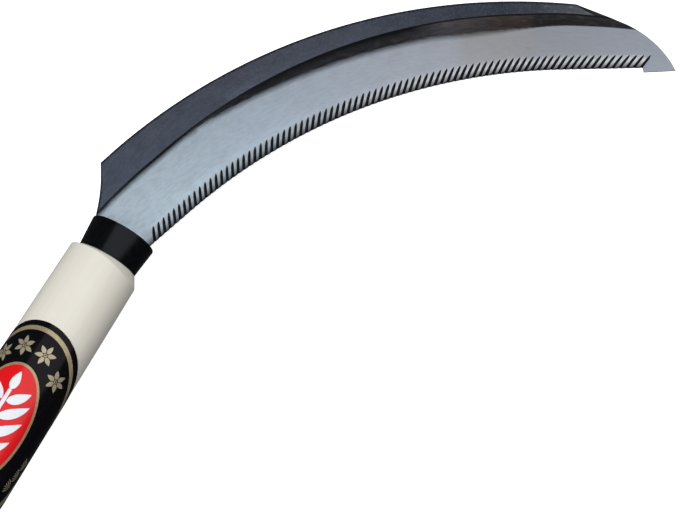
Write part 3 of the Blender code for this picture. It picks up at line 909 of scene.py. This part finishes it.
def edge_length():
    return tooth_station(TEETH - 1) + GROOVE_HALF


def edge_at(station):
    """Place on the toothed edge, with its direction, at a length along it."""
    place = Vector((SHOULDER_X, EDGE_START_Y))
    heading = EDGE_HEADING
    first = min(station, EDGE_STRAIGHT)
    place = place + direction(heading) * first
    bend = min(max(station - EDGE_STRAIGHT, 0.0), EDGE_RADIUS * math.radians(EDGE_TURN))
    centre = place + direction(heading - 90.0) * EDGE_RADIUS
    heading -= math.degrees(bend / EDGE_RADIUS)
    place = centre + direction(heading + 90.0) * EDGE_RADIUS if bend else place
    rest = station - first - bend
    return place + direction(heading) * rest, direction(heading)


def inward(tangent):
    return Vector((-tangent.y, tangent.x))


def meet_circle(angle, centre, radius, far):
    """Depth at which the ray of an angle meets a circle, on its far or its near side."""
    ray = direction(angle)
    along = (centre - SPINE_CENTRE).dot(ray)
    across = (centre - SPINE_CENTRE).cross(ray)
    half_chord = math.sqrt(max(0.0, radius ** 2 - across ** 2))
    return SPINE_RADIUS - (along + half_chord if far else along - half_chord)


def meet_line(angle, start, end):
    """Depth at which the ray of an angle meets the line through two places."""
    ray = direction(angle)
    line = end - start
    return SPINE_RADIUS - (start - SPINE_CENTRE).cross(line) / ray.cross(line)


NOSE_TOP, NOSE_POINT = (NOSE_CENTRE + direction(angle) * NOSE_RADIUS for angle in NOSE_ANGLES)
SPINE_END = from_polar(SPINE_ANGLES[1], 0.0)
HEEL_DROP = math.sqrt(HEEL_RADIUS ** 2 - (SHOULDER_X - HEEL_CENTRE.x) ** 2)
HEEL_FOOT = Vector((SHOULDER_X, HEEL_CENTRE.y - HEEL_DROP))
EDGE_END, EDGE_END_TANGENT = edge_at(edge_length())
STEP_CORNER = EDGE_END + EDGE_END_TANGENT * NOSE_STEP[0] - inward(EDGE_END_TANGENT) * NOSE_STEP[1]


def outline_depth(angle):
    """Depth of the blade's back outline: heel curve, spine, straight, then rounded nose."""
    if angle > SPINE_ANGLES[0]:
        return meet_circle(angle, HEEL_CENTRE, HEEL_RADIUS, far=False)
    if angle >= SPINE_ANGLES[1]:
        return 0.0
    if angle >= to_polar(NOSE_TOP)[0]:
        return meet_line(angle, SPINE_END, NOSE_TOP)
    return meet_circle(angle, NOSE_CENTRE, NOSE_RADIUS, far=True)


def nose_lift(angle):
    start, end, lift = NOSE_LIFT
    return lift * clamped((start - angle) / (start - end))


def ridge_depth(angle):
    depth = meet_circle(angle, RIDGE_CENTRE, RIDGE_RADIUS, far=True) - nose_lift(angle)
    return min(RIDGE_LIMIT, depth)


def hollow_depth(angle):
    """Depth of the hollow's lower border."""
    depth = meet_circle(angle, HOLLOW_CENTRE, HOLLOW_RADIUS, far=True) - nose_lift(angle)
    return max(depth, ridge_depth(angle) + HOLLOW_LEAST)


def band_depth(angle):
    """Depth of the slanted line that ends the band towards the nose."""
    (first, _), (last, depth) = BAND_END
    return min(ridge_depth(angle), depth * max(0.0, first - angle) / (first - last))


def fade_width(angle):
    """Width over which the hollow's painted dark reflection fades out: soft, but sharp near the
    nose.
    """
    share = clamped((angle - SHARP_FADE[0]) / (SOFT_FADE[0] - SHARP_FADE[0]))
    return SHARP_FADE[1] + (SOFT_FADE[1] - SHARP_FADE[1]) * share


def front_depth(angle):
    """Depth of the toothed edge, or of the nose's lower edge beyond it."""
    if angle < to_polar(STEP_CORNER)[0]:
        return meet_line(angle, STEP_CORNER, NOSE_POINT)
    station = solve(lambda length: to_polar(edge_at(length)[0])[0] - angle,
                    -EDGE_SEARCH[0], edge_length() + EDGE_SEARCH[1])
    return to_polar(edge_at(station)[0])[1]


def face_height(place):
    """Plate thickness at a place: flat band, hollow under the ridge, then the bevel."""
    angle, depth = to_polar(place)
    ridge = ridge_depth(angle)
    hollow = hollow_depth(angle)
    if depth <= ridge:
        return THICKNESS
    if depth <= hollow:
        return THICKNESS - HOLLOW_DROP * (1.0 - ((hollow - depth) / (hollow - ridge)) ** 2)
    share = min(1.0, (depth - hollow) / (front_depth(angle) - hollow))
    return THICKNESS - HOLLOW_DROP + (EDGE_THICKNESS - THICKNESS + HOLLOW_DROP) * share


def fade_rows(angle):
    """Depths between which the hollow's painted dark reflection fades out, a little past its
    border.
    """
    shift = FADE_SHIFT[-1][1]
    for (first, start), (last, end) in zip(FADE_SHIFT, FADE_SHIFT[1:]):
        if first >= angle >= last:
            shift = start + (end - start) * (first - angle) / (first - last)
    centre = hollow_depth(angle) + shift
    half = fade_width(angle) / 2
    return max(ridge_depth(angle), centre - half), centre + half


def hollow_shade(place):
    """Share of painted dark reflection: 1 in the hollow, 0 on the bevel."""
    angle, depth = to_polar(place)
    start, end = fade_rows(angle)
    return clamped((end - depth) / (end - start))


def groove_reach(tooth):
    """Way from the edge to the head of a groove."""
    _, tangent = edge_at(tooth_station(tooth))
    past = max(0.0, tooth - EVEN_TEETH) / (TEETH - 1 - EVEN_TEETH)
    lean = TOOTH_LEAN[0] + (TOOTH_LEAN[1] - TOOTH_LEAN[0]) * past
    first, longest, last = TOOTH_DEPTH
    depth = first + (longest - first) * min(1.0, tooth / FULL_DEPTH_TOOTH) + (last - longest) * past
    return (tangent / math.tan(math.radians(lean)) + inward(tangent)) * depth


def groove_head(tooth):
    """Inner end of a groove, up on the bevel."""
    return edge_at(tooth_station(tooth))[0] + groove_reach(tooth)


def groove_rail(tooth, side):
    """Places up a groove's side from the edge: side -1 towards the heel, 1 towards the nose."""
    rail = []
    for share, width in GROOVE_RAIL:
        base = edge_at(tooth_station(tooth) + side * GROOVE_HALF * width)[0]
        rail.append(base + groove_reach(tooth) * share)
    return rail


def blade_columns():
    """Places on the back outline and at the foot of the bevel, heel to nose, with the tooth."""
    heads = [groove_head(tooth) for tooth in range(TEETH)]
    first_angle = to_polar(heads[0])[0]
    neck_rise = TOOTH_DEPTH[0] / math.cos(math.radians(EDGE_HEADING))
    neck_foot = Vector((SHOULDER_X, EDGE_START_Y + neck_rise))
    heel_angle = to_polar(HEEL_FOOT)[0]
    columns = []
    for step in range(HEEL_COLUMNS):
        share = step / HEEL_COLUMNS
        angle = heel_angle + (first_angle - heel_angle) * share
        foot = neck_foot.lerp(heads[0], share)
        columns.append((from_polar(angle, outline_depth(angle)), foot, None))
    corners = [*SPINE_ANGLES, to_polar(NOSE_TOP)[0], BAND_END[0][0], BAND_END[1][0]]
    for row_depth in (ridge_depth, hollow_depth):
        corners.append(solve(lambda angle: outline_depth(angle) - row_depth(angle),
                             ROWS_END_ANGLE, SPINE_ANGLES[1]))
    corners.sort(reverse=True)
    for tooth, head in enumerate(heads):
        angle = to_polar(head)[0]
        while tooth and corners and corners[0] > angle:
            corner = corners.pop(0)
            foot = from_polar(corner, meet_line(corner, heads[tooth - 1], head))
            columns.append((from_polar(corner, outline_depth(corner)), foot, None))
        columns.append((from_polar(angle, outline_depth(angle)), head, tooth))
    first_angle = min(to_polar(STEP_CORNER)[0], to_polar(heads[-1])[0] - NOSE_CLEARANCE)
    for step in range(NOSE_COLUMNS):
        angle = first_angle + (to_polar(NOSE_POINT)[0] - first_angle) * step / NOSE_COLUMNS
        foot = from_polar(angle, front_depth(angle))
        columns.append((from_polar(angle, outline_depth(angle)), foot, None))
    columns.append((NOSE_POINT, NOSE_POINT, None))
    return columns


def column_places(top, foot):
    """Places down a column: outline, band, ridge, hollow, fade, bevel and the foot."""
    angle, top_depth = to_polar(top)
    foot_depth = to_polar(foot)[1]
    ridge = ridge_depth(angle)
    hollow = hollow_depth(angle)
    fade_start, fade_end = fade_rows(angle)
    rows = [band_depth(angle), (band_depth(angle) + ridge) / 2, ridge]
    rows += [ridge + (min(fade_start, hollow) - ridge) * share for share in HOLLOW_SHARES]
    rows += sorted((fade_start, hollow, fade_end))
    rows += [fade_end + (foot_depth - fade_end) * share for share in BEVEL_SHARES]
    span = max(foot_depth - top_depth, 0.001)
    shares = [clamped((row - top_depth) / span) for row in rows]
    return [top] + [top.lerp(foot, share) for share in shares] + [foot]


BAND_ROWS = (1, 3)  # rows of a column where the band starts and ends
SCALE, GROUND, GROOVE, LAND = range(4)


class Plate:
    """Blade plate under construction: a ground upper face over a flat back."""

    def __init__(self):
        self.bm = bmesh.new()

    def upper(self, place):
        return self.bm.verts.new(point(place.x, place.y, BLADE_BACK_Z + face_height(place)))

    def back(self, place):
        return self.bm.verts.new(point(place.x, place.y, BLADE_BACK_Z))

    def both(self, place):
        return self.upper(place), self.back(place)

    def face(self, slot, *corners):
        kept = []
        for corner in corners:
            if all((corner.co - other.co).length > MERGE * MM for other in kept):
                kept.append(corner)
        if len(kept) > 2:
            self.bm.faces.new(kept).material_index = slot

    def zip(self, slot, first, second):
        """Triangles between two rows of back vertices that both run from heel to nose."""
        def angle(vertex):
            return to_polar(Vector((vertex.co.x, vertex.co.y)) / MM)[0]
        here = 0
        there = 0
        while here < len(first) - 1 or there < len(second) - 1:
            at_end = there == len(second) - 1
            before_end = here < len(first) - 1
            if at_end or (before_end and angle(first[here + 1]) >= angle(second[there + 1])):
                self.face(slot, first[here], first[here + 1], second[there])
                here += 1
            else:
                self.face(slot, first[here], second[there + 1], second[there])
                there += 1


def cut_teeth(plate, feet, tooth_columns):
    """Teeth from the shoulder to the nose. Returns the shoulder's end, the row along the back,
    and the nose side of the last groove."""
    shoulder_end = plate.both(edge_at(0.0)[0])
    back_row = [shoulder_end[1]]
    near_rail = [shoulder_end[0]]
    near_back = shoulder_end[1]
    for tooth in range(TEETH):
        head = feet[tooth_columns[tooth]]
        place, tangent = edge_at(tooth_station(tooth))
        gullet = plate.back(place + inward(tangent) * TOOTH_GULLET)
        rails = [[plate.upper(place) for place in groove_rail(tooth, side)] for side in (-1.0, 1.0)]
        backs = [plate.back(groove_rail(tooth, side)[0]) for side in (-1.0, 1.0)]
        first_foot = tooth_columns[tooth - 1] if tooth else 0
        inner_row = feet[first_foot:tooth_columns[tooth] + 1]
        far_rail = rails[0]
        if len(near_rail) > 1:
            for step in range(len(far_rail) - 1):
                plate.face(LAND, near_rail[step], far_rail[step], far_rail[step + 1],
                           near_rail[step + 1])
            plate.face(LAND, near_rail[-1], far_rail[-1], *reversed(inner_row))
        else:
            plate.face(LAND, near_rail[0], *far_rail, *reversed(inner_row))
        plate.face(GROOVE, near_rail[0], near_back, backs[0], far_rail[0])
        for rail, back in zip(rails, backs):
            plate.face(GROOVE, rail[0], back, gullet)
            for lower, higher in zip(rail, rail[1:] + [head]):
                plate.face(GROOVE, lower, gullet, higher)
        back_row += [backs[0], gullet, backs[1]]
        near_rail = rails[1]
        near_back = backs[1]
    return shoulder_end, back_row, near_rail, near_back


def make_tang():
    """Flat bar behind the shoulders that narrows to a bevelled end."""
    front = SHOULDER_X + TANG_OVERLAP
    middle = SHOULDER_X - TANG_LENGTH / 2
    side = [(front, TANG_HALF[0]), (middle, TANG_HALF[0]),
            (TANG_END_X + TANG_BEVEL, TANG_HALF[1]), (TANG_END_X, TANG_HALF[1] - TANG_BEVEL)]
    corners = side + [(x, -y) for x, y in reversed(side)]
    bm = bmesh.new()
    rings = []
    for z in (-TANG_THICKNESS / 2, TANG_THICKNESS / 2):
        rings.append([bm.verts.new(point(x, y, z)) for x, y in corners])
    skin(bm, rings)
    return new_object("tang", bm)


def write_attributes(mesh):
    """Places on the blade at every vertex, for its finishes. All but the shade are in mm."""
    rows = []
    for vertex in mesh.vertices:
        place = Vector((vertex.co.x, vertex.co.y)) / MM
        angle, depth = to_polar(place)
        along = math.radians(SPINE_ANGLES[0] - angle) * MIDDLE_RADIUS
        rows.append((along, depth, depth - ridge_depth(angle), depth - outline_depth(angle),
                     front_depth(angle) - depth, hollow_shade(place)))
    for name, values in zip(("along", "across", "under", "rim", "edge", "hollow"), zip(*rows)):
        mesh.attributes.new(name, "FLOAT", "POINT").data.foreach_set("value", values)


def make_blade():
    plate = Plate()
    columns = blade_columns()
    grid = [[plate.upper(place) for place in column_places(top, foot)] for top, foot, _ in columns]
    outline = [plate.back(top) for top, _, _ in columns]
    feet = [column[-1] for column in grid]
    tooth_columns = [number for number, column in enumerate(columns) if column[2] is not None]
    for first, second in zip(grid, grid[1:]):
        for row in range(len(first) - 1):
            slot = SCALE if BAND_ROWS[0] <= row < BAND_ROWS[1] else GROUND
            plate.face(slot, first[row], first[row + 1], second[row + 1], second[row])
    for number in range(len(columns) - 1):
        plate.face(SCALE, grid[number][0], grid[number + 1][0],
                   outline[number + 1], outline[number])

    shoulder_end, back_row, last_rail, last_back = cut_teeth(plate, feet, tooth_columns)
    nose = range(tooth_columns[-1] + 1, len(columns))
    nose_back = [plate.back(columns[number][1]) for number in nose]
    corner, corner_back = plate.both(STEP_CORNER)
    head = feet[tooth_columns[-1]]
    for lower, higher in zip(last_rail, last_rail[1:] + [head]):
        plate.face(GROUND, lower, higher, corner)
    plate.face(GROUND, head, feet[nose[0]], corner)
    plate.face(GROUND, last_rail[0], last_back, corner_back, corner)
    plate.face(GROUND, corner, corner_back, nose_back[0], feet[nose[0]])
    for step, number in enumerate(nose[:-1]):
        plate.face(GROUND, feet[number], nose_back[step], nose_back[step + 1], feet[number + 1])
    plate.zip(GROUND, outline, back_row + [corner_back] + nose_back)
    plate.face(GROUND, *grid[0], *shoulder_end, outline[0])

    ground = ground_finish("blade_ground")
    land = ground_finish("blade_teeth", toothed=True)
    blade = new_object("blade_steel", plate.bm, [band_finish(), ground, groove_finish(), land])
    boolean(blade, make_tang(), "UNION")
    cut_pin_holes(blade)
    write_attributes(blade.data)
    finish_piece(blade, "blade", 14.0)


# ---- studio

def glowing(name, roughness, base, glow, strength):
    mat = Finish(name, roughness=roughness)
    mat.to("Base Color", as_colour(base))
    mat.to("Emission Color", as_colour(glow))
    mat.to("Emission Strength", strength)
    return mat.material


def make_floor():
    size = FLOOR_HALF
    bm = bmesh.new()
    corners = [(-size, -size), (size, -size), (size, size), (-size, size)]
    places = [(CAD_CENTRE.x + x, CAD_CENTRE.y + y, CAD_BOX[0].z) for x, y in corners]
    bm.faces.new([bm.verts.new(place) for place in places])
    white = glowing("floor_white", 0.8, (0.9, 0.9, 0.9), (1.0, 1.0, 1.0), 0.85)
    floor = new_object("floor", bm, [white])
    floor.visible_glossy = False
    floor.visible_diffuse = False


def make_backdrop():
    """Pale dome round the scene, so that every view has the same plain background."""
    bm = bmesh.new()
    bmesh.ops.create_icosphere(bm, subdivisions=4, radius=DOME_RADIUS)
    bmesh.ops.reverse_faces(bm, faces=bm.faces)
    pale = glowing("backdrop_white", 1.0, (0.0, 0.0, 0.0), (0.97, 0.98, 1.0), 1.0)
    mesh = bpy.data.meshes.new("backdrop")
    bm.to_mesh(mesh)
    bm.free()
    mesh.materials.append(pale)
    dome = add_object("backdrop", mesh)
    dome.location = CAD_CENTRE
    dome.visible_glossy = False
    dome.visible_diffuse = False
    dome.visible_shadow = False
    dome.visible_transmission = False


def softbox(name, towards, distance, size, radiance, mirrored=True):
    """Rectangular lamp that faces the object. Its power follows from its brightness and area."""
    lamp = bpy.data.lights.new(name, "AREA")
    lamp.shape = "RECTANGLE"
    lamp.size, lamp.size_y = size
    lamp.energy = radiance * math.pi * size[0] * size[1]
    placed = add_object(name, lamp)
    away = Vector(towards).normalized()
    placed.location = CAD_CENTRE + away * distance
    placed.rotation_euler = away.to_track_quat("Z", "Y").to_euler()
    placed.visible_glossy = mirrored


def make_lights():
    softbox("overhead", (0.21, -0.33, 0.92), 1.0, (0.85, 1.7), 1.13)
    softbox("key", (-0.62, 0.3, 0.72), 1.3, (0.6, 0.6), 11.0)
    softbox("far_fill", (0.88, 0.2, 0.42), 1.5, (0.6, 0.6), 5.0)
    softbox("side_fill", (0.2, -0.97, 0.05), 1.5, (0.6, 0.6), 6.0, mirrored=False)
    world = bpy.data.worlds.new("studio")
    world.use_nodes = True
    world.node_tree.nodes["Background"].inputs["Color"].default_value = (0.05, 0.05, 0.055, 1.0)
    bpy.context.scene.world = world
    bpy.context.scene.view_settings.view_transform = "Standard"


def make_camera():
    turn = math.radians(CAMERA_AZIMUTH)
    rise = math.radians(CAMERA_ELEVATION)
    flat = math.cos(rise)
    away = Vector((math.sin(turn) * flat, -math.cos(turn) * flat, math.sin(rise)))
    lens = bpy.data.cameras.new("camera")
    lens.angle = math.radians(CAMERA_FIELD)
    lens.clip_start = 0.01
    camera = add_object("camera", lens)
    camera.location = (CAMERA_AIM + away * CAMERA_DISTANCE) * MM
    camera.rotation_euler = away.to_track_quat("Z", "Y").to_euler()
    bpy.context.scene.camera = camera


make_camera()
make_handle()
make_collar()
make_pins()
make_label()
make_label_motif()
make_label_marks()
make_blade()
make_floor()
make_backdrop()
make_lights()
